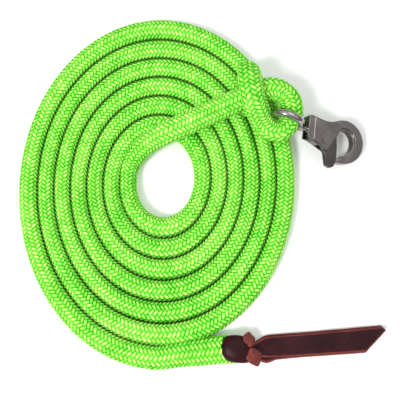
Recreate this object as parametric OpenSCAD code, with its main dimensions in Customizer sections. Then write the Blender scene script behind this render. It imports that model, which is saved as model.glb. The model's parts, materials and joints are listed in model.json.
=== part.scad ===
// Braided lead rope laid in a flat coil, with a bull snap in a noose and a leather popper.
// Millimetres, +Z up, floor at z = 0, origin under the middle of the whole lead.

/* [Rope] */
// Thickness of the braided rope
rope_d = 16; // [12:0.5:19]
// Thickness of the rope where it is squeezed in the noose
noose_d = 12; // [9:0.5:14]
// Widest outside width of the coil
coil_w = 255.4; // [235:0.2:310]
// Longest outside length of the coil
coil_l = 323; // [295:0.5:390]

/* [Swivel eye] */
// Thickness of the eye's round bar
eye_rod = 6; // [4.5:0.1:7.5]
// Inside width of the eye
eye_gap = 18; // [15:0.5:22]
// Length of the eye from the snap to its far end
eye_l = 41; // [34:0.5:50]
// Thickness of the swivel shank
shank_d = 6; // [4.5:0.1:7]
// Width of the shank's round head
head_d = 8; // [8:0.1:9.6]

/* [Snap] */
// Thickness of the snap's cast frame
snap_t = 11.4; // [10.8:0.2:16]
// Outside width of the round hook
hook_d = 39.4; // [37:0.2:48]
// Width of the slot that holds the trigger
slot_w = 6.4; // [5.5:0.1:7.5]
// Thickness of the trigger's plate
trigger_t = 4.4; // [3.8:0.1:4.9]
// Thickness of the pivot rivet
rivet_d = 4; // [3:0.1:5]

/* [Popper] */
// Thickness of one layer of leather
leather_t = 3; // [2:0.1:4]
// Width of the leather tails
popper_w = 19; // [15:0.5:24]
// Length of the leather tails
popper_l = 112.4; // [90:0.2:140]

/* [Hidden] */
$fn = 48;

gap = 0.3;
run_fit = 0.08;
pass = 1;

// Coil: an oval spiral of touching turns, flattened a little sideways by its neighbours,
// that grows away from the snap and the popper when it is made larger
coil_right = 93.2;
coil_front = -157.5;
coil_at = [coil_right - coil_w / 2, coil_front + coil_l / 2];
turns = 6.25;
half_side = rope_d / 2 - 0.8;
half_end = rope_d / 2 + 1;
reach = [coil_w / 2 - half_side, coil_l / 2 - half_end];
pitch = [2 * half_side + 0.1, 2 * half_end + 0.3];
soft = rope_d * 0.18;
steps = 60;
coil_start = [coil_at[0], coil_at[1] - reach[1]];
coil_end = [coil_at[0] - reach[0] + pitch[0] * turns, coil_at[1]];

// Heights of the three strands stacked in the noose
z_low = rope_d + 0.2 + noose_d / 2;
z_mid = z_low + noose_d + gap;
z_top = z_mid + noose_d + gap;

// Snap: its own axes lie along the swivel, across the plate and through the plate
snap_turn = -18;
snap_tilt = 20.5;
ring_c = [31.9, 0.9];
snap_at = [
  98.5,
  46.5,
  sin(snap_tilt) * (ring_c[0] + hook_d / 2) + cos(snap_tilt) * snap_t / 2 + 0.05
];
// Height of the strand that runs through the swivel eye
loop_z = snap_at[2] + 7;

// Rope routes: x, y, z and thickness at each point
end_lift = leather_t + rope_d / 2 - 0.5;
tail_route = [
  [coil_start[0], coil_start[1], rope_d / 2, rope_d],
  [-17, -147, rope_d / 2, rope_d],
  [0, -145.6, rope_d / 2 + 0.6, rope_d],
  [17, -143.6, end_lift - 0.4, rope_d],
  [36, -142.8, end_lift, rope_d - 2]
];
standing_route = [
  [coil_end[0], coil_end[1], rope_d / 2, rope_d - 1],
  [-60.6, 22, rope_d / 2 + 1.5, rope_d - 1],
  [-52.5, 32, rope_d / 2 + 5.5, rope_d - 1],
  [-41, 39.6, rope_d / 2 + 11, rope_d - 1],
  [-26.6, 45.4, rope_d / 2 + 16.6, rope_d - 1],
  [-12.4, 51.7, rope_d / 2 + 17, rope_d - 1],
  [2, 58.5, rope_d / 2 + 17.5, rope_d - 1],
  [16.4, 64.7, rope_d / 2 + 19.5, rope_d - 2],
  [30.4, 69.8, z_mid - 3, noose_d],
  [42, 74.3, z_mid, noose_d],
  [54.5, 79, z_mid, noose_d],
  [65, 80.5, z_mid - 1.2, noose_d],
  [74, 77.5, z_mid - 2.5, noose_d],
  [79.5, 70, loop_z, noose_d]
];
noose_route = [
  standing_route[13],
  [80.8, 60.5, loop_z, noose_d],
  [78, 51.5, loop_z - 1.3, noose_d],
  [70.8, 45.2, loop_z - 2.4, noose_d],
  [62.2, 46.2, loop_z - 2.4, noose_d],
  [55, 52.8, z_mid - 2.5, noose_d],
  [49.2, 61.5, z_mid + 5.5, noose_d],
  [45.6, 70, z_top - 0.5, noose_d],
  [43.8, 80.5, z_top + 0.5, noose_d],
  [43, 90, z_top - 1.5, noose_d],
  [43, 97.4, z_mid + 5, noose_d],
  [43.2, 98.2, z_mid - 3, noose_d],
  [43.2, 93, z_low + 2, noose_d],
  [43.4, 85.6, z_low, noose_d],
  [44, 76, z_low, noose_d],
  [46, 66, z_low + 0.3, noose_d],
  [47.5, 60.5, z_low + 1, noose_d]
];

eye_r = eye_gap / 2 + eye_rod / 2;
eye_back = eye_l - eye_r - eye_rod / 2;
cage = [-8, 4];
cage_t = head_d + 2 * gap + 2.6;
window = [-5.2, -0.6];
eye_front = eye_r + eye_rod / 2 + 2 * gap - cage[0];
edge = 1.6;
eye_c = [31.2, -0.3];
eye_rx = 10.4;
eye_ry = 12.3;
pivot = [13.5, -5];
hub_r = 4.8;
slot_r = hub_r + 0.7;
plate_z = -slot_w / 2 + slot_w - gap - trigger_t;
wire = 0.9;

// Popper: leather folded round the rope's end, then two tails lying on each other
popper_at = [47.8, -141.8];
popper_turn = 3.8;
wrap_l = 14;
wrap_w = rope_d + 2 * leather_t + 2;
wrap_h = end_lift + rope_d / 2 + leather_t - 1;

function arc(c, r, a0, a1, n) = [
  for (i = [0:n]) [c[0] + r * cos(a0 + (a1 - a0) * i / n), c[1] + r * sin(a0 + (a1 - a0) * i / n)]
];
function oval(c, rx, ry, a0, a1, n) = [
  for (i = [0:n]) [c[0] + rx * cos(a0 + (a1 - a0) * i / n), c[1] + ry * sin(a0 + (a1 - a0) * i / n)]
];
function lay(t, ex, ey) = [
  coil_at[0] - (reach[0] - pitch[0] * t + ex) * sin(360 * t),
  coil_at[1] - (reach[1] - pitch[1] * t + ey) * cos(360 * t)
];
function unit(v) = v / norm(v);
function spot(p, i) = [p[i][0], p[i][1], p[i][2]];
function step_dir(p, i) = unit(spot(p, i + 1) - spot(p, i));
function along(p, i) =
  i == 0 ? step_dir(p, 0)
  : i == len(p) - 1 ? step_dir(p, i - 1)
  : unit(step_dir(p, i - 1) + step_dir(p, i));
function flat_part(s, t) = unit(s - t * (s * t));
function across(p, i) =
  i == 0 ? flat_part([-along(p, 0)[1], along(p, 0)[0], 0], along(p, 0))
  : flat_part(across(p, i - 1), along(p, i));

module tube(p, sides) {
  n = len(p);
  rings = [
    for (i = [0:n - 1])
      let (s = across(p, i), u = cross(along(p, i), s))
        for (k = [0:sides - 1])
          spot(p, i) + (s * cos(360 * k / sides) + u * sin(360 * k / sides)) * p[i][3] / 2
  ];
  walls = [
    for (i = [0:n - 2])
      for (k = [0:sides - 1])
        let (a = i * sides + k, b = i * sides + (k + 1) % sides)
          for (f = [[a, a + sides, b], [b, a + sides, b + sides]]) f
  ];
  polyhedron(
    points = rings,
    faces = concat(
      [[for (k = [0:sides - 1]) k]],
      walls,
      [[for (k = [0:sides - 1]) n * sides - 1 - k]]
    ),
    convexity = 6
  );
}

module place_snap() {
  translate(snap_at)
    rotate([0, snap_tilt, snap_turn])
      children();
}

module place_popper() {
  translate([popper_at[0], popper_at[1], 0])
    rotate([0, 0, popper_turn])
      children();
}

module along_u(d, x0, x1) {
  translate([x0, 0, 0])
    rotate([0, 90, 0])
      cylinder(d = d, h = x1 - x0);
}

module coil_layer(z, h, inset) {
  translate([0, 0, z])
    linear_extrude(h)
      polygon([for (i = [0:steps]) lay(i / steps, half_side - inset, half_end - inset)]);
}

module coil_hole(z, h, inset) {
  translate([0, 0, z])
    linear_extrude(h)
      polygon([for (i = [0:steps]) lay(turns - 1 + i / steps, inset - half_side, inset - half_end)]);
}

module rope_coil() {
  color("limegreen")
    difference() {
      union() {
        coil_layer(0, soft, soft * 0.6);
        coil_layer(soft, rope_d - 2 * soft, 0);
        coil_layer(rope_d - soft, soft, soft * 0.6);
      }
      coil_hole(-pass, soft + pass, soft * 0.6);
      coil_hole(soft, rope_d - 2 * soft, 0);
      coil_hole(rope_d - soft, soft + pass, soft * 0.6);
    }
}

module rope_tail() {
  color("limegreen")
    tube(tail_route, 12);
}

module standing_part() {
  color("limegreen")
    tube(standing_route, 12);
}

module noose() {
  color("yellowgreen")
    tube(noose_route, 12);
}

// Round bar bent to an eye, with a shank that ends in a head inside the snap
module eye_bend(u, side) {
  translate([u, 0, 0])
    rotate([90, 0, 0])
      rotate([0, 0, 90 * side])
        rotate_extrude(angle = 180)
          translate([eye_r, 0])
            circle(d = eye_rod);
}

module swivel_eye() {
  color("silver")
    place_snap() {
      eye_bend(-eye_back, 1);
      eye_bend(-eye_front, -1);
      for (s = [-1, 1])
        translate([-eye_back, 0, s * eye_r])
          rotate([0, 90, 0])
            cylinder(d = eye_rod, h = eye_back - eye_front);
      along_u(eye_rod + 3, cage[0] - 7, cage[0] - gap);
      along_u(shank_d, cage[0] - 2, window[0] + gap + 0.4);
      along_u(head_d, window[0] + gap, window[1] - gap);
    }
}

// Outline of the cast frame, drawn in by i all round
function hook_outline(i) = concat(
  [[-2.9 + i, 11.8 - i], [4, 12 - i], [11, 12.5 - i], [16, 14 - i]],
  arc(ring_c, hook_d / 2 - i, 126, -92, 44),
  oval(eye_c, eye_rx + i, eye_ry + i, -84, 120, 40),
  [[24.6 - i, 6.8], [23.8 - i, 2.7], [21.6 - i, -4.3], [19.6 - i, -11.5]],
  [[18.4 - i, -13.6 + i], [1.2 + i, -9.9 + i]]
);

module flat(h) {
  translate([0, 0, -h / 2])
    linear_extrude(h)
      children();
}

module snap_body() {
  color("dimgray")
    place_snap()
      difference() {
        union() {
          flat(snap_t - 2 * edge)
            polygon(hook_outline(0));
          flat(snap_t)
            polygon(hook_outline(edge * 0.7));
          // cage round the shank's head, lower than the plate
          flat(cage_t)
            polygon([
              [cage[0], 10.2],
              [cage[0] + 2, 11.6],
              [cage[1], 11.4],
              [cage[1], -9.3],
              [cage[0] + 4, -9.3]
            ]);
        }
        // slot for the trigger, open below and towards the eye of the hook
        flat(slot_w)
          polygon(concat(
            [[pivot[0] - slot_r, -22], [pivot[0] - slot_r, pivot[1]]],
            arc(pivot, slot_r, 180, 96, 12),
            [[20.5, 4], [24.4, 4.6], [27, 0], [27, -22]]
          ));
        // window that holds the shank's head
        translate([window[0], -20, -head_d / 2 - gap])
          cube([window[1] - window[0], 40, head_d + 2 * gap]);
        along_u(shank_d + 2 * run_fit, cage[0] - pass, window[0] + 0.1);
        translate([pivot[0], pivot[1], -snap_t])
          cylinder(d = rivet_d, h = 2 * snap_t);
      }
}

module trigger_rivet() {
  color("gray")
    place_snap()
      translate([pivot[0], pivot[1], -snap_t / 2]) {
        cylinder(d = rivet_d, h = snap_t);
        translate([0, 0, snap_t])
          cylinder(d = rivet_d + 2.4, h = 0.6);
        translate([0, 0, -0.6])
          cylinder(d = rivet_d + 2.4, h = 0.6);
      }
}

// Spring wire wound on the rivet beside the trigger's plate, with a leg on the slot's wall
module trigger_spring() {
  color("lightgray")
    place_snap()
      translate([pivot[0], pivot[1], -slot_w / 2 + 0.1]) {
        difference() {
          cylinder(d = rivet_d + 2 * wire + 0.2, h = wire);
          translate([0, 0, -pass])
            cylinder(d = rivet_d + 0.2, h = wire + 2 * pass);
        }
        translate([-rivet_d / 2 - wire - 0.1, 0, 0])
          cube([wire, slot_r - 1.6, wire]);
      }
}

module trigger() {
  color("gray")
    place_snap()
      translate([0, 0, plate_z])
        difference() {
          linear_extrude(trigger_t)
            polygon(concat(
              arc(pivot, hub_r, 230, 100, 16),
              [[20.6, 3.3], [23.6, 3.7], [25.3, 0], [27.4, -6], [28.9, -12.6], [29.9, -18.6]],
              [[29.3, -23.5], [26.4, -26.1], [21.6, -25.3], [17.2, -16]]
            ));
          translate([pivot[0], pivot[1], -pass])
            cylinder(d = rivet_d + 2 * run_fit, h = trigger_t + 2 * pass);
        }
}

module popper_loop() {
  color("saddlebrown")
    place_popper()
      difference() {
        union() {
          // leather wrapped round the end of the rope
          translate([-wrap_l - 16, 0, 0])
            rotate([90, 0, 90])
              linear_extrude(wrap_l + 4)
                polygon(concat(
                  [[-wrap_w / 2 + 3, 0], [wrap_w / 2 - 3, 0]],
                  oval([0, wrap_h / 2], wrap_w / 2, wrap_h / 2, -50, 230, 28)
                ));
          // lips that close down on the tails
          translate([0, popper_w / 2 + 1, 0])
            rotate([90, 0, 0])
              linear_extrude(popper_w + 2)
                polygon([
                  [-12, 0],
                  [-gap, 0],
                  [-gap, leather_t],
                  [-3.6, leather_t * 2 + 1],
                  [-6, wrap_h * 0.6],
                  [-12, wrap_h * 0.82]
                ]);
        }
        translate([-60, 0, end_lift])
          rotate([0, 90, 0])
            cylinder(d = rope_d - 1.4, h = 60 - 11);
      }
}

module tail_shape() {
  linear_extrude(leather_t)
    polygon(concat(
      [[0, -popper_w / 2], [popper_l - 18.2, 0.5 - popper_w / 2]],
      arc([popper_l - 3.2, popper_w / 2 - 2.2], 2.8, -40, 88, 8),
      [[0, popper_w / 2]]
    ));
}

module popper_lower_tail() {
  color("brown")
    place_popper()
      translate([-gap, 0, 0])
        tail_shape();
}

module popper_upper_tail() {
  color("sienna")
    place_popper()
      translate([0, 0, leather_t + gap])
        tail_shape();
}

rope_coil();
rope_tail();
standing_part();
noose();
swivel_eye();
snap_body();
trigger_rivet();
trigger_spring();
trigger();
popper_loop();
popper_lower_tail();
popper_upper_tail();
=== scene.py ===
import json
import math

import bmesh
import bpy
import numpy as np
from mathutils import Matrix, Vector


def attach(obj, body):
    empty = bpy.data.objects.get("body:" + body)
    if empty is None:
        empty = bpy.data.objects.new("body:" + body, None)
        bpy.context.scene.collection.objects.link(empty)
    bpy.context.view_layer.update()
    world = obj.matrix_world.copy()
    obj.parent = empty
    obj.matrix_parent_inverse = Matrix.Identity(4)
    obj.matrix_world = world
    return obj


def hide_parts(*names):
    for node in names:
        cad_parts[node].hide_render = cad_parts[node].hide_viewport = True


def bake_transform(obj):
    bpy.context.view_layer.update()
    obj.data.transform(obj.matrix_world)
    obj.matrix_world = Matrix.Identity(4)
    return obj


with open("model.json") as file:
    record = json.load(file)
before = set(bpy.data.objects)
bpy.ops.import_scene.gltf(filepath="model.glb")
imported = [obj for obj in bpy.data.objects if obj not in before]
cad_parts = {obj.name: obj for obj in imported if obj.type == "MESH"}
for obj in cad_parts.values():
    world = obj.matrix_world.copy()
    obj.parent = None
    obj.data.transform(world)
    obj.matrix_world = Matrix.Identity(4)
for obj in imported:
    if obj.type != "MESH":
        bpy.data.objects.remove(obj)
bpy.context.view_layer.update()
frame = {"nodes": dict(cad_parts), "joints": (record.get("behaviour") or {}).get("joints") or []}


camera = {
    "target": (0.0, -0.0134, 0.008),
    "elevation": 78.0,
    "distance": 0.600,
    "fieldOfView": 33.0,
}


def addCamera(values):
    lift = math.radians(values["elevation"])
    target = Vector(values["target"])
    away = Vector((0.0, -math.cos(lift), math.sin(lift)))
    data = bpy.data.cameras.new("leadCamera")
    data.sensor_fit = "HORIZONTAL"
    data.angle = math.radians(values["fieldOfView"])
    data.clip_start = 0.01
    made = bpy.data.objects.new("leadCamera", data)
    bpy.context.scene.collection.objects.link(made)
    made.location = target + away * values["distance"]
    made.rotation_euler = (-away).to_track_quat("-Z", "Y").to_euler()
    bpy.context.scene.camera = made
    return made


addCamera(camera)
print("camera placed")


class Wire:
    # one socket in a shader tree, so that a + b or 1 - mask adds its own Math node
    def __init__(self, tree, socket=None):
        self.tree = tree
        self.socket = socket

    def build(self, kind, settings, inputs, out=0):
        made = self.tree.nodes.new(kind)
        for name, value in settings.items():
            if name == "stops":
                ramp = made.color_ramp
                while len(ramp.elements) > 1:
                    ramp.elements.remove(ramp.elements[-1])
                for index, (place, shade) in enumerate(value):
                    stop = ramp.elements[0] if index == 0 else ramp.elements.new(place)
                    stop.position = place
                    stop.color = (*shade, 1.0) if len(shade) == 3 else shade
            else:
                setattr(made, name, value)
        for name, value in inputs.items():
            slot = made.inputs[name]
            if isinstance(value, Wire):
                self.tree.links.new(value.socket, slot)
            else:
                slot.default_value = value
        return Wire(self.tree, made.outputs[out])

    def math(self, operation, *values):
        inputs = {index: value for index, value in enumerate(values)}
        return self.build("ShaderNodeMath", {"operation": operation}, inputs)

    def __add__(self, other):
        return self.math("ADD", self, other)

    def __radd__(self, other):
        return self.math("ADD", other, self)

    def __sub__(self, other):
        return self.math("SUBTRACT", self, other)

    def __rsub__(self, other):
        return self.math("SUBTRACT", other, self)

    def __mul__(self, other):
        return self.math("MULTIPLY", self, other)


def shader(name):
    material = bpy.data.materials.new(name)
    material.use_nodes = True
    tree = material.node_tree
    surface = next(n for n in tree.nodes if n.type == "BSDF_PRINCIPLED")
    return material, Wire(tree), surface


def feed(wire, surface, name):
    wire.tree.links.new(wire.socket, surface.inputs[name])


def mixColour(wire, factor, first, second):
    inputs = {"Factor": factor, 6: first, 7: second}
    return wire.build("ShaderNodeMix", {"data_type": "RGBA"}, inputs, out=2)


def rampOf(wire, factor, stops):
    return wire.build("ShaderNodeValToRGB", {"stops": stops}, {"Fac": factor})


def noiseOf(wire, vector, scale, detail, rough):
    inputs = {"Vector": vector, "Scale": scale, "Detail": detail, "Roughness": rough}
    return wire.build("ShaderNodeTexNoise", {}, inputs)


def bumpOf(wire, height, distance, strength):
    inputs = {"Height": height, "Distance": distance, "Strength": strength}
    return wire.build("ShaderNodeBump", {}, inputs)


rope = {
    "thick": 0.016,
    "coilAt": (-0.0345, 0.004),
    "turns": 6.25,
    "reach": (0.1205, 0.1525),
    "pitch": (0.0145, 0.0183),
    "halfSide": 0.0076,     # a turn's half width where it runs up and down the coil
    "halfEnd": 0.0094,      # and where it crosses the coil's ends
    "outerSpread": 0.0009,  # the outermost turn has no neighbour to squeeze it
    "pointsPerTurn": 72,
    "stitch": 0.0037,       # one stitch along the rope
    "columns": 12,          # columns of stitches round it, leaning left and right in turn
    "ridge": 0.00055,       # how far the middle of a stitch stands out
    "valley": 0.00045,      # how far the corners between stitches sink in
    "endRound": 0.005,      # length over which the cut ends are rounded off
    "paintedShadeFrom": 0.70,    # share of a turn's half width where painted contact shade from its neighbour begins and the share over which that painted shade deepens
    "paintedShadeOver": 0.24,    # and the share over which that shade deepens
    "lineStep": 0.001,      # spacing of the route's points
}

# x, y, z, half width and half height in metres
tailRoute = [
    (0.0390, -0.1424, 0.0100, 0.0080, 0.0058),
    (0.0300, -0.1430, 0.0104, 0.0112, 0.0066),
    (0.0170, -0.1432, 0.0099, 0.0116, 0.0074),
    (0.0000, -0.1450, 0.0086, 0.0113, 0.0079),
    (-0.0170, -0.1468, 0.0080, 0.0107, 0.0080),
]
nooseRoute = [
    (-0.0640, 0.0125, 0.0084, 0.0080, 0.0080),
    (-0.0606, 0.0220, 0.0095, 0.0084, 0.0080),
    (-0.0525, 0.0320, 0.0135, 0.0092, 0.0079),
    (-0.0410, 0.0396, 0.0190, 0.0098, 0.0078),
    (-0.0266, 0.0454, 0.0246, 0.0101, 0.0076),
    (-0.0124, 0.0517, 0.0250, 0.0102, 0.0074),
    (0.0020, 0.0585, 0.0255, 0.0102, 0.0072),
    (0.0164, 0.0647, 0.0275, 0.0102, 0.0069),
    (0.0304, 0.0698, 0.0315, 0.0102, 0.0065),
    (0.0420, 0.0743, 0.0345, 0.0102, 0.0062),
    (0.0545, 0.0790, 0.0345, 0.0104, 0.0062),
    (0.0650, 0.0805, 0.0333, 0.0105, 0.0066),
    (0.0740, 0.0775, 0.0310, 0.0104, 0.0070),
    (0.0795, 0.0700, 0.0308, 0.0101, 0.0072),
    (0.0808, 0.0605, 0.0305, 0.0096, 0.0072),
    (0.0780, 0.0515, 0.0292, 0.0092, 0.0072),
    (0.0708, 0.0452, 0.0281, 0.0098, 0.0072),
    (0.0622, 0.0462, 0.0282, 0.0103, 0.0072),
    (0.0550, 0.0528, 0.0315, 0.0105, 0.0070),
    (0.0492, 0.0615, 0.0400, 0.0107, 0.0066),
    (0.0456, 0.0700, 0.0463, 0.0107, 0.0063),
    (0.0438, 0.0805, 0.0473, 0.0106, 0.0063),
    (0.0430, 0.0900, 0.0453, 0.0104, 0.0066),
    (0.0430, 0.0974, 0.0395, 0.0100, 0.0068),
    (0.0432, 0.0982, 0.0315, 0.0098, 0.0068),
    (0.0432, 0.0930, 0.0242, 0.0097, 0.0064),
    (0.0434, 0.0856, 0.0222, 0.0097, 0.0062),
    (0.0440, 0.0760, 0.0222, 0.0097, 0.0061),
    (0.0460, 0.0660, 0.0225, 0.0092, 0.0060),
    (0.0475, 0.0605, 0.0232, 0.0082, 0.0056),
]


def coilPoints(values):
    count = int(values["turns"] * values["pointsPerTurn"])
    points = []
    for index in range(count + 1):
        turn = index / values["pointsPerTurn"]
        angle = 2 * math.pi * turn
        outer = values["outerSpread"] * min(1.0, max(0.0, 1.15 - turn) / 0.3)
        reachX = values["reach"][0] - values["pitch"][0] * turn + outer
        reachY = values["reach"][1] - values["pitch"][1] * turn + outer
        x = values["coilAt"][0] - reachX * math.sin(angle)
        y = values["coilAt"][1] - reachY * math.cos(angle)
        runX, runY = reachX * math.cos(angle), reachY * math.sin(angle)
        length = math.hypot(runX, runY)
        half = math.hypot(values["halfSide"] * runY, values["halfEnd"] * runX) / length
        # whether a turn has a neighbour inside and outside it, which sets where painted contact shade
        # goes
        inside = min(1.0, max(0.0, values["turns"] - 1.0 - turn) / 0.2)
        outside = min(1.0, max(0.0, turn - 0.93) / 0.1)
        radius = values["thick"] / 2
        points.append((x, y, radius, half + outer, radius, inside, outside))
    return points


def throughPoints(p0, p1, p2, p3, t):
    # the Catmull-Rom curve from p1 to p2, at shares t of the way
    return 0.5 * (
        2 * p1 + (p2 - p0) * t + (2 * p0 - 5 * p1 + 4 * p2 - p3) * t ** 2
        + (3 * p1 - p0 - 3 * p2 + p3) * t ** 3
    )


def smoothLine(points, step):
    # a curve through every point, then evenly spaced along its length
    rows = np.array(points, float)
    padded = np.vstack([2 * rows[0] - rows[1], rows, 2 * rows[-1] - rows[-2]])
    fine = []
    for index in range(1, len(padded) - 2):
        p0, p1, p2, p3 = padded[index - 1:index + 3]
        parts = max(2, int(np.linalg.norm(p2[:3] - p1[:3]) / (0.8 * step)))
        t = np.linspace(0, 1, parts, endpoint=False)[:, None]
        fine.append(throughPoints(p0, p1, p2, p3, t))
    fine = np.vstack([*fine, rows[-1]])
    run = np.concatenate([[0], np.cumsum(np.linalg.norm(np.diff(fine[:, :3], axis=0), axis=1))])
    count = int(run[-1] / step)
    even = np.linspace(0, run[-1], count + 1)
    line = np.column_stack([np.interp(even, run, fine[:, k]) for k in range(fine.shape[1])])
    return line, run[-1]


def turningFrames(line):
    # sideways and upward directions carried along the rope without twisting it
    ahead = np.gradient(line[:, :3], axis=0)
    ahead /= np.linalg.norm(ahead, axis=1)[:, None]
    up = np.array([0.0, 0.0, 1.0])
    ups = []
    for direction in ahead:
        up = up - direction * up.dot(direction)
        up /= np.linalg.norm(up)
        ups.append(up)
    ups = np.array(ups)
    return np.cross(ahead, ups), ups


def braidTube(name, line, length, values):
    # The lattice has a point in the middle of every braid cell and one at every corner between cells.
    # A stitch is two cells of one strand, so a ridge joins their middles and valleys run round them.
    sides, ups = turningFrames(line)
    grid = np.linspace(0, length, len(line))
    around = 2 * values["columns"]
    rows = 2 * round(length / values["stitch"]) + 1
    where = np.linspace(0, length, rows)

    def along(table):
        columns = [np.interp(where, grid, table[:, k]) for k in range(table.shape[1])]
        return np.stack(columns, -1)[:, None, :]

    centre, side, up = along(line[:, :3]), along(sides), along(ups)
    halves = along(line[:, 3:5])
    pressed = np.clip(along(line[:, 5:7]), 0, 1)
    row, column = np.meshgrid(np.arange(rows), np.arange(around), indexing="ij")
    middle = (row + column) % 2
    rise = np.where(middle == 1, values["ridge"], -values["valley"])
    endFade = np.clip(np.minimum(where, length - where) / values["endRound"], 0, 1)
    endFade = (np.sqrt(1 - (1 - endFade) ** 2) * 0.85 + 0.15)[:, None]
    angle = 2 * np.pi * column / around
    cosine, sine = np.cos(angle), np.sin(angle)
    wide = (halves[..., 0] + rise) * endFade
    high = (halves[..., 1] + rise) * endFade
    verts = centre + side * (wide * cosine)[..., None] + up * (high * sine)[..., None]
    verts = verts.reshape(-1, 3)
    # sides that meet a neighbouring turn get painted contact shade, deepening towards where they
    # touch
    shut = np.where(cosine > 0, pressed[..., 0], pressed[..., 1])
    nearness = (np.abs(cosine) - values["paintedShadeFrom"]) / values["paintedShadeOver"]
    paintedContactShade = shut * np.clip(nearness, 0, 1) ** 1.4

    diagonals = (((0, 1, 2), (0, 2, 3)), ((0, 1, 3), (1, 2, 3)))
    faces, spots = [], []
    for r in range(rows - 1):
        for c in range(around):
            n = (c + 1) % around
            corners = [r * around + c, r * around + n, (r + 1) * around + n, (r + 1) * around + c]
            places = [(r, c), (r, c + 1), (r + 1, c + 1), (r + 1, c)]
            odd = (r + c) % 2
            inStitch = c % 4 == 2 * odd
            for triangle in diagonals[inStitch != odd]:
                faces.append([corners[k] for k in triangle])
                spots += [places[k] for k in triangle]
    first, last = len(verts), len(verts) + 1
    verts = np.vstack([verts, line[0, :3], line[-1, :3]])
    base = (rows - 1) * around
    for c in range(around):
        n = (c + 1) % around
        faces += [[first, n, c], [last, base + c, base + n]]
        spots += [(0, 0)] * 6
    mesh = bpy.data.meshes.new(name)
    mesh.from_pydata(verts.tolist(), [], faces)
    uv = mesh.uv_layers.new(name="braid")
    uv.data.foreach_set("uv", (np.array(spots, np.float32) / 2).ravel())
    shade = mesh.attributes.new("paintedContactShade", "FLOAT", "POINT")
    shade.data.foreach_set("value", np.append(paintedContactShade.ravel(), (0.0, 0.0)).astype(np.float32))
    mesh.update()
    made = bpy.data.objects.new(name, mesh)
    bpy.context.scene.collection.objects.link(made)
    mesh.shade_smooth()
    return made


def ropeFinish():
    material, wire, surface = shader("limeBraid")
    uv = wire.build("ShaderNodeUVMap", {"uv_map": "braid"}, {})
    alongRope = wire.build("ShaderNodeSeparateXYZ", {}, {"Vector": uv}, out="X")
    acrossRope = wire.build("ShaderNodeSeparateXYZ", {}, {"Vector": uv}, out="Y")
    # two families of strands cross at the braid angle, and each passes over two and under two
    right, left = alongRope + acrossRope, alongRope - acrossRope
    rightCell, leftCell = wire.math("FLOOR", right), wire.math("FLOOR", left)
    order = wire.math("FLOORED_MODULO", rightCell - leftCell, 4.0)
    leans = wire.math("GREATER_THAN", order, 1.5)
    odd = wire.math("FLOORED_MODULO", order, 2.0)
    rightPart, leftPart = right - rightCell, left - leftCell
    aside = (rightPart + (leftPart - rightPart) * leans) * 2 - 1
    onward = leftPart + (rightPart - leftPart) * leans + (1 - odd) + (odd * 2 - 1) * leans
    crown = 1 - aside * aside
    arch = onward * (2 - onward)
    strandId = wire.build("ShaderNodeCombineXYZ", {}, {
        "X": rightCell + (leftCell - rightCell) * leans,
        "Y": leftCell + odd + (rightCell - leftCell - odd * 2) * leans,
        "Z": leans})
    shadeOfStitch = wire.build("ShaderNodeTexWhiteNoise", {}, {"Vector": strandId})
    fibrePlace = wire.build("ShaderNodeCombineXYZ", {}, {
        "X": aside * 3.2, "Y": onward * 0.9, "Z": shadeOfStitch * 40.0})
    fibres = noiseOf(wire, fibrePlace, 1.6, 3.0, 0.6)
    slowPlace = wire.build("ShaderNodeCombineXYZ", {}, {
        "X": alongRope * 0.05, "Y": acrossRope * 0.25, "Z": 0.0})
    slow = noiseOf(wire, slowPlace, 1.0, 2.0, 0.5)
    # the stitch's dome lightens its colour at the crown, up to a pale yellow stop, and darkens it
    # towards its edges and ends: painted highlight and painted shade on every stitch, on top of its
    # random tone
    body = wire.math("SQRT", crown) * (0.42 + arch * 0.58)
    level = (
        0.10 + body * 0.74 + (fibres - 0.5)
        + (shadeOfStitch - 0.5) * 0.16 + (slow - 0.5) * 0.40
    )
    stitchToneAndPaintedLight = rampOf(wire, level, [
        (0.00, (0.002, 0.050, 0.002)),
        (0.20, (0.008, 0.180, 0.008)),
        (0.42, (0.080, 0.600, 0.024)),
        (0.66, (0.250, 0.880, 0.060)),
        (0.95, (0.800, 1.000, 0.300)),
    ])
    # painted contact shade: near-black green mixed in where turns meet
    paintedContactShadeFac = wire.build("ShaderNodeAttribute", {"attribute_name": "paintedContactShade"}, {}, out="Fac")
    colour = mixColour(wire, paintedContactShadeFac * 0.97, stitchToneAndPaintedLight, (0.0005, 0.045, 0.002, 1.0))
    feed(colour, surface, "Base Color")
    feed(0.60 - (fibres - 0.5) * 0.3, surface, "Roughness")
    feed(bumpOf(wire, fibres * 0.45 + body, 0.0007, 0.8), surface, "Normal")
    surface.inputs["Specular IOR Level"].default_value = 0.08
    return material


def loose(route, pressedFrom=()):
    # no neighbour presses on a free stretch, save at the points given, which get painted contact
    # shade on that side
    given = dict(pressedFrom)
    return [point + given.get(index, (0.0, 0.0)) for index, point in enumerate(route)]


wholeRoute = (
    loose(tailRoute, [(4, (1.0, 0.0)), (3, (0.5, 0.0))])
    + coilPoints(rope)
    + loose(nooseRoute, [(0, (0.0, 1.0)), (1, (0.0, 0.5))])
)
ropeLine, ropeLength = smoothLine(wholeRoute, rope["lineStep"])
braidedRope = braidTube("braidedRope", ropeLine, ropeLength, rope)
braidedRope.data.materials.append(ropeFinish())
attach(braidedRope, "lead")
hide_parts("rope_coil", "rope_tail", "standing_part", "noose")
print("rope", round(float(ropeLength), 3), "m,", len(braidedRope.data.polygons), "faces")


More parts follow.
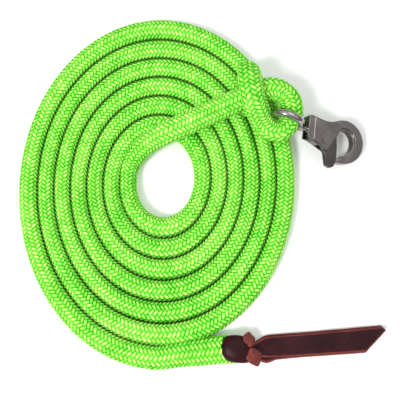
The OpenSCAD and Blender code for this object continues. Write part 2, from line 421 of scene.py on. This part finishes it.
def gunmetalFinish(name, shade, rough):
    material, wire, surface = shader(name)
    place = wire.build("ShaderNodeTexCoord", {}, {}, out="Object")
    blotch = noiseOf(wire, place, 90.0, 4.0, 0.6)
    grains = noiseOf(wire, place, 900.0, 3.0, 0.6)
    colour = rampOf(wire, blotch, [
        (0.30, tuple(c * 0.80 for c in shade)),
        (0.55, shade),
        (0.75, tuple(min(1, c * 1.18) for c in shade)),
    ])
    feed(colour, surface, "Base Color")
    feed(rough + (blotch - 0.5) * 0.12 + (grains - 0.5) * 0.06, surface, "Roughness")
    feed(bumpOf(wire, grains * 0.4 + blotch, 0.00012, 0.5), surface, "Normal")
    surface.inputs["Metallic"].default_value = 1.0
    return material


castMetal = gunmetalFinish("gunmetalCast", (0.200, 0.182, 0.173), 0.13)
# the gate is the cast gunmetal at about half its brightness: painted shade for its recess between the
# cheeks
gateMetalPaintedShade = gunmetalFinish("gunmetalGatePaintedShade", (0.105, 0.096, 0.092), 0.15)
# the eye is the cast gunmetal made nearly twice as bright: painted highlight for its broad shine
eyeMetalPaintedHighlight = gunmetalFinish("gunmetalEyePaintedHighlight", (0.36, 0.33, 0.315), 0.12)
rivetMetal = gunmetalFinish("rivetMetal", (0.19, 0.17, 0.165), 0.25)
springMetal = gunmetalFinish("springWire", (0.45, 0.45, 0.46), 0.25)


def dress(node, material):
    mesh = frame["nodes"][node].data
    mesh.materials.clear()
    mesh.materials.append(material)


# voxel is the remesh grain, rounds the smoothing, and grow what polish and plate add outside
castPieces = {
    "castFrame": {
        "node": "snap_body", "body": "snap_frame", "metal": castMetal,
        "voxel": 0.00030, "rounds": 5, "grow": 0.0,
    },
    "thumbTrigger": {
        "node": "trigger", "body": "trigger_arm", "metal": gateMetalPaintedShade,
        "voxel": 0.00028, "rounds": 5, "grow": 0.0,
    },
    "eyeRod": {
        "node": "swivel_eye", "body": "lead", "metal": eyeMetalPaintedHighlight,
        "voxel": 0.00040, "rounds": 2, "grow": 0.00045, "growFrom": 0.0088, "growOver": 0.003,
    },
}


def useModifier(obj, kind, **settings):
    bpy.ops.object.select_all(action="DESELECT")
    obj.select_set(True)
    bpy.context.view_layer.objects.active = obj
    added = obj.modifiers.new(kind.lower(), kind)
    for name, value in settings.items():
        setattr(added, name, value)
    bpy.ops.object.modifier_apply(modifier=added.name)


def growOutside(obj, values):
    # only what stands clear of the snap's cage grows, so the shank keeps its clearance
    swivel = next(j for j in frame["joints"] if j["name"] == "snap_swivel")
    pivot, axis = Vector(swivel["pos_m"]), Vector(swivel["axis"])
    group = obj.vertex_groups.new(name="outside")
    for vert in obj.data.vertices:
        beyond = (pivot - vert.co).dot(axis) - values["growFrom"]
        group.add([vert.index], min(1.0, max(0.0, beyond / values["growOver"])), "REPLACE")
    useModifier(obj, "DISPLACE", strength=values["grow"], mid_level=0.0, vertex_group="outside")
    obj.vertex_groups.clear()


def castCopy(name, values):
    # a copy of the plain solid with its edges softened as a casting's are
    source = frame["nodes"][values["node"]]
    mesh = source.data.copy()
    mesh.name = name
    made = bpy.data.objects.new(name, mesh)
    bpy.context.scene.collection.objects.link(made)
    shape = bmesh.new()
    shape.from_mesh(mesh)
    bmesh.ops.remove_doubles(shape, verts=shape.verts, dist=0.000005)
    shape.to_mesh(mesh)
    shape.free()
    useModifier(made, "REMESH", mode="VOXEL", voxel_size=values["voxel"], use_smooth_shade=True)
    useModifier(made, "SMOOTH", factor=0.5, iterations=values["rounds"])
    if values["grow"]:
        growOutside(made, values)
    mesh = made.data
    mesh.materials.clear()
    mesh.materials.append(values["metal"])
    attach(made, values["body"])
    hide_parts(values["node"])
    print(name, len(mesh.polygons), "faces")
    return made


for pieceName, pieceValues in castPieces.items():
    castCopy(pieceName, pieceValues)
dress("trigger_rivet", rivetMetal)
dress("trigger_spring", springMetal)


popper = {
    "at": (0.0478, -0.1418),  # the tails' root, at the slit
    "turn": 3.8,              # degrees from the X axis
    "thick": 0.0028,
    "length": 0.1124,
    "rim": 0.0012,            # how far the raw cut edge shows in from the side
    "slant": 0.0185,          # how much shorter the near side of the tip is cut
    "cornerAt": 0.66,         # where across the tail the slanted cut meets the blunt corner
    "cornerCut": 0.0030,
    "roundOff": 0.22,         # share of the thickness taken off the edges
    "foldThick": 0.0024,
    "lipThick": 0.0023,
}


def leatherFinish():
    material, wire, surface = shader("burgundyLeather")
    place = wire.build("ShaderNodeTexCoord", {}, {}, out="Object")
    raw = wire.build("ShaderNodeAttribute", {"attribute_name": "rawEdge"}, {}, out="Fac")
    poreInputs = {"Vector": place, "Scale": 900.0}
    pores = wire.build("ShaderNodeTexVoronoi", {"feature": "DISTANCE_TO_EDGE"}, poreInputs)
    tone = noiseOf(wire, place, 60.0, 5.0, 0.6)
    drawn = wire.build(
        "ShaderNodeVectorMath", {"operation": "MULTIPLY"}, {0: place, 1: (0.35, 1.6, 1.6)})
    streaks = noiseOf(wire, drawn, 260.0, 4.0, 0.65)
    strands = noiseOf(wire, place, 650.0, 4.0, 0.75)
    grain = rampOf(wire, tone * 0.6 + streaks * 0.4 + (pores - 0.1) * 0.25, [
        (0.28, (0.010, 0.001, 0.002)),
        (0.50, (0.022, 0.003, 0.005)),
        (0.78, (0.055, 0.009, 0.012)),
    ])
    cut = rampOf(wire, strands * 0.65 + tone * 0.35, [
        (0.28, (0.080, 0.014, 0.012)),
        (0.50, (0.220, 0.044, 0.036)),
        (0.72, (0.430, 0.140, 0.115)),
    ])
    edge = wire.math("MINIMUM", wire.math("MAXIMUM", raw + (strands - 0.5) * 0.5 * raw, 0.0), 1.0)
    feed(mixColour(wire, edge, grain, cut), surface, "Base Color")
    feed(0.42 + (tone - 0.5) * 0.25 + edge * 0.35, surface, "Roughness")
    feed(bumpOf(wire, pores * 0.5 + tone + strands * edge * 1.2, 0.00040, 0.7), surface, "Normal")
    surface.inputs["Specular IOR Level"].default_value = 0.14
    return material


hide = leatherFinish()


def onPopper(along, across, height):
    turn = math.radians(popper["turn"])
    x = popper["at"][0] + along * math.cos(turn) - across * math.sin(turn)
    y = popper["at"][1] + along * math.sin(turn) + across * math.cos(turn)
    return (x, y, height)


def splineAt(stops, t):
    # values between stops (t, a, b, ...) eased by a Catmull-Rom curve
    rows = np.array(stops, float)
    k = int(np.clip(np.searchsorted(rows[:, 0], t, side="right") - 1, 0, len(rows) - 2))
    local = (t - rows[k, 0]) / (rows[k + 1, 0] - rows[k, 0])
    p1, p2 = rows[k, 1:], rows[k + 1, 1:]
    p0 = rows[k - 1, 1:] if k > 0 else 2 * p1 - p2
    p3 = rows[k + 2, 1:] if k + 2 < len(rows) else 2 * p2 - p1
    return throughPoints(p0, p1, p2, p3, local)


def leatherStrap(name, tops, thick, rim, flesh=0.0):
    # tops is a grid of points on the strap's upper side; its lower side is one thickness below
    grid = np.array(tops, float)
    rows, across = grid.shape[:2]
    normal = np.cross(np.gradient(grid, axis=0), np.gradient(grid, axis=1))
    normal /= np.linalg.norm(normal, axis=2)[..., None]
    low = grid - normal * thick
    high = grid.copy()
    roundOff = thick * popper["roundOff"]
    for sheet, sign in ((high, -1), (low, 1)):
        for edge in (0, -1):
            sheet[:, edge] += sign * normal[:, edge] * roundOff
            sheet[edge] += sign * normal[edge] * roundOff
    verts = np.vstack([high.reshape(-1, 3), low.reshape(-1, 3)])
    count = rows * across
    faces = []
    for r in range(rows - 1):
        for c in range(across - 1):
            a, b = r * across + c, (r + 1) * across + c
            faces.append((a, b, b + 1, a + 1))
            faces.append((a + count, a + count + 1, b + count + 1, b + count))
    border = list(range(across))
    border += [r * across + across - 1 for r in range(1, rows)]
    border += [(rows - 1) * across + c for c in range(across - 2, -1, -1)]
    border += [r * across for r in range(rows - 2, 0, -1)]
    for k, a in enumerate(border):
        b = border[(k + 1) % len(border)]
        faces.append((a, b, b + count, a + count))
    mesh = bpy.data.meshes.new(name)
    mesh.from_pydata(verts.tolist(), [], faces)
    shape = bmesh.new()
    shape.from_mesh(mesh)
    bmesh.ops.remove_doubles(shape, verts=shape.verts, dist=0.000002)
    bmesh.ops.recalc_face_normals(shape, faces=shape.faces)
    shape.to_mesh(mesh)
    shape.free()
    made = bpy.data.objects.new(name, mesh)
    bpy.context.scene.collection.objects.link(made)
    outline = np.vstack([grid[:, 0], grid[:, -1], grid[0], grid[-1]])
    raw = []
    for vert in mesh.vertices:
        gap = np.sqrt(((outline - np.array(vert.co)) ** 2).sum(axis=1).min())
        raw.append(max(flesh, min(1.0, max(0.0, 1.3 - gap / rim))))
    edgeShare = mesh.attributes.new("rawEdge", "FLOAT", "POINT")
    edgeShare.data.foreach_set("value", np.array(raw, np.float32))
    mesh.shade_smooth()
    mesh.materials.append(hide)
    return made


def tipAt(s):
    # the tail is cut on a slant, with a blunt corner on its far side
    corner = popper["cornerAt"]
    if s < corner:
        return popper["length"] - popper["slant"] * (corner - s) / (1 + corner)
    return popper["length"] - popper["cornerCut"] * ((s - corner) / (1 - corner)) ** 1.6


def tailGrid(lift, widths, crown, rows=110, across=25):
    # widths gives, at shares of the length, the far edge, the near edge and the height above lift
    tops = []
    for r in range(rows):
        t = r / (rows - 1)
        far, near, high = splineAt(widths, t)
        line = []
        for c in range(across):
            s = 2 * c / (across - 1) - 1
            root = -0.0040 + 0.0012 * s * s
            place = root + (tipAt(s) - root) * t
            wave = 0.00030 * math.sin(9 * t + 1.1) + 0.00018 * math.sin(23 * t)
            height = lift + high + crown * (1 - s * s) + wave * abs(s)
            line.append(onPopper(place, near + (far - near) * (s + 1) / 2, height))
        tops.append(line)
    return tops


lowerWidths = [
    (0.00, 0.0030, -0.0030, 0.0030),
    (0.05, 0.0066, -0.0090, 0.0022),
    (0.11, 0.0098, -0.0132, 0.0004),
    (0.20, 0.0104, -0.0112, 0.0),
    (0.40, 0.0105, -0.0105, 0.0),
    (0.70, 0.0110, -0.0104, 0.0),
    (1.00, 0.0118, -0.0104, 0.0),
]
upperWidths = [
    (0.00, 0.0022, -0.0034, 0.0034),
    (0.04, 0.0052, -0.0062, 0.0022),
    (0.10, 0.0082, -0.0082, 0.0008),
    (0.20, 0.0088, -0.0088, 0.0),
    (0.40, 0.0089, -0.0090, 0.0),
    (0.70, 0.0096, -0.0091, 0.0),
    (1.00, 0.0105, -0.0092, 0.0),
]
lowerGrid = tailGrid(0.0029, lowerWidths, 0.0)
lowerTail = leatherStrap("popperLowerTail", lowerGrid, popper["thick"], popper["rim"] * 1.4)
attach(lowerTail, "lead")
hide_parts("popper_lower_tail")
upperGrid = tailGrid(0.0059, upperWidths, 0.0003)
upperTail = leatherStrap("popperUpperTail", upperGrid, popper["thick"], popper["rim"])
onPopper(-0.003, 0, 0.005)
onPopper(0.010, 0, 0.005)
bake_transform(upperTail)
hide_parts("popper_upper_tail")


# the fold over the rope's end, from the slit back to its round mouth:
# share of the way, place along, far edge, near edge, height
foldStops = [
    (0.00, -0.0030, 0.0060, -0.0070, 0.0120),
    (0.14, -0.0080, 0.0085, -0.0102, 0.0152),
    (0.30, -0.0135, 0.0100, -0.0106, 0.0178),
    (0.52, -0.0200, 0.0108, -0.0098, 0.0188),
    (0.72, -0.0258, 0.0102, -0.0082, 0.0176),
    (0.88, -0.0290, 0.0088, -0.0066, 0.0140),
    (1.00, -0.0294, 0.0074, -0.0054, 0.0080),
]


def foldGrid(rows=48, across=21):
    tops = []
    for r in range(rows):
        back, far, near, height = splineAt(foldStops, r / (rows - 1))
        line = []
        for c in range(across):
            s = 2 * c / (across - 1) - 1
            curl = 0.0034 * abs(s) ** 2.4
            bow = 0.0040 * abs(s) ** 2.5 * (r / rows)
            line.append(onPopper(back + bow, near + (far - near) * (s + 1) / 2, height - curl))
        tops.append(line)
    return tops


fold = leatherStrap("popperFold", foldGrid(), popper["foldThick"], popper["rim"])
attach(fold, "lead")
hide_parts("popper_loop")


# the two lips of the slit, pulled up and crossed over the tails:
# share of the way, place along, place across, half width, height, tilt
lipStops = {
    "popperUpperLip": [
        (0.00, -0.0100, 0.0010, 0.0026, 0.0152, 0.0),
        (0.30, -0.0082, 0.0038, 0.0050, 0.0182, 0.25),
        (0.60, -0.0058, 0.0074, 0.0057, 0.0178, 0.45),
        (0.85, -0.0036, 0.0102, 0.0050, 0.0138, 0.7),
        (1.00, -0.0024, 0.0114, 0.0040, 0.0092, 0.9),
    ],
    "popperLowerLip": [
        (0.00, -0.0112, 0.0004, 0.0036, 0.0150, 0.0),
        (0.30, -0.0074, -0.0030, 0.0056, 0.0178, -0.25),
        (0.60, -0.0028, -0.0068, 0.0064, 0.0166, -0.45),
        (0.85, 0.0012, -0.0098, 0.0060, 0.0118, -0.7),
        (1.00, 0.0034, -0.0110, 0.0052, 0.0076, -0.9),
    ],
}


def lipGrid(stops, rows=34, across=13):
    tops = []
    for r in range(rows):
        t = r / (rows - 1)
        place, aside, half, height, tilt = splineAt(stops, t)
        ahead = splineAt(stops, min(1.0, t + 0.02)) - splineAt(stops, max(0.0, t - 0.02))
        size = math.hypot(ahead[0], ahead[1])
        crossX, crossY = -ahead[1] / size, ahead[0] / size
        line = []
        for c in range(across):
            s = 2 * c / (across - 1) - 1
            sag = 0.0016 * s * s + 0.0004 * math.sin(5 * s + 7 * t)
            out = half * s
            level = height - sag + tilt * out * 0.6
            line.append(onPopper(place + crossX * out, aside + crossY * out, level))
        tops.append(line)
    return tops


for lipName, stops in lipStops.items():
    lip = leatherStrap(lipName, lipGrid(stops), popper["lipThick"], popper["rim"], flesh=0.8)
    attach(lip, "lead")
print("leather popper")


studio = {
    "floorSize": 8.0,
    "floorAt": (0, 0, -0.0004),
    "floorShade": (0.93, 0.93, 0.93, 1),
    "floorRough": 0.9,
    # brightness of the sky at shares of the way from the horizon to overhead
    "sky": [(0.0, 0.22), (0.35, 0.34), (0.7, 0.85), (1.0, 1.0)],
    "lights": {
        "softKey": {"at": (-0.9, -0.9, 1.6), "size": 0.6, "power": 34},
        "softFill": {"at": (0.9, 0.6, 1.5), "size": 1.2, "power": 6},
    },
}


def addFloor(values):
    bpy.ops.object.select_all(action="DESELECT")
    bpy.ops.mesh.primitive_plane_add(size=values["floorSize"], location=values["floorAt"])
    floor = bpy.context.object
    floor.name = "studioFloor"
    material, _, surface = shader("paleFloor")
    surface.inputs["Base Color"].default_value = values["floorShade"]
    surface.inputs["Roughness"].default_value = values["floorRough"]
    floor.data.materials.append(material)


def addLight(name, values):
    data = bpy.data.lights.new(name, "AREA")
    data.shape = "DISK"
    data.size = values["size"]
    data.energy = values["power"]
    made = bpy.data.objects.new(name, data)
    bpy.context.scene.collection.objects.link(made)
    made.location = values["at"]
    made.rotation_euler = (-Vector(values["at"])).to_track_quat("-Z", "Y").to_euler()


def addSky(levels):
    # white overhead and darker towards the horizon, as under a broad diffuser
    world = bpy.data.worlds.new("studio")
    world.use_nodes = True
    wire = Wire(world.node_tree)
    direction = wire.build("ShaderNodeTexCoord", {}, {}, out="Generated")
    height = wire.build("ShaderNodeSeparateXYZ", {}, {"Vector": direction}, out="Z")
    shade = rampOf(wire, height, [(place, (level,) * 3) for place, level in levels])
    feed(shade, world.node_tree.nodes["Background"], "Color")
    bpy.context.scene.world = world


addFloor(studio)
addSky(studio["sky"])
for lightName, lightValues in studio["lights"].items():
    addLight(lightName, lightValues)
bpy.context.scene.view_settings.view_transform = "Standard"
print("floor and light")
